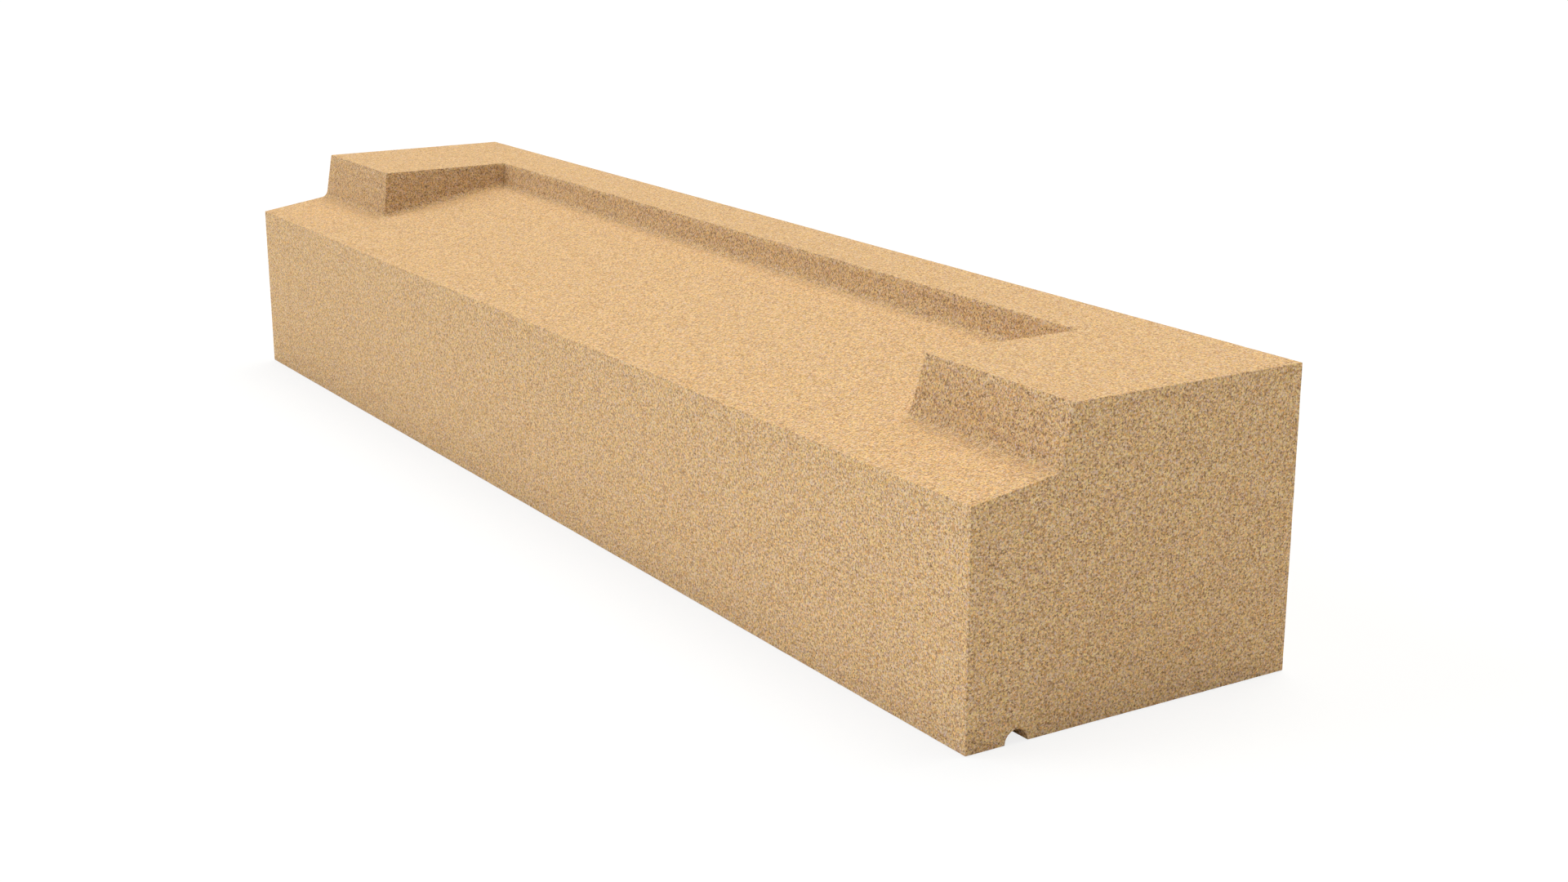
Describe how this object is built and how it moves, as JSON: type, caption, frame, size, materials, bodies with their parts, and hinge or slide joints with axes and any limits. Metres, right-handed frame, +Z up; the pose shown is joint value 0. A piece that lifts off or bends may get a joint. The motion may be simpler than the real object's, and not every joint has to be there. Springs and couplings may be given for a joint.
{
  "type": "cast stone window sill",
  "caption": "Stooled cast stone window sill with a weathered top, a bearing stool at each end, a rear upstand for the window frame and a drip groove under its weather face.",
  "frame": {"origin": "middle of the underside, below the centre of the bounding box", "axes": "+X along the wall, -Y out through the weather face, +Z up from the underside to the seats"},
  "size_m": [0.805, 0.175, 0.14],
  "materials": {
    "cast_stone": "matt buff cast stone with an open sandy grain"
  },
  "bodies": {
    "root": {"sill": "cast_stone"}
  },
  "joints": []
}
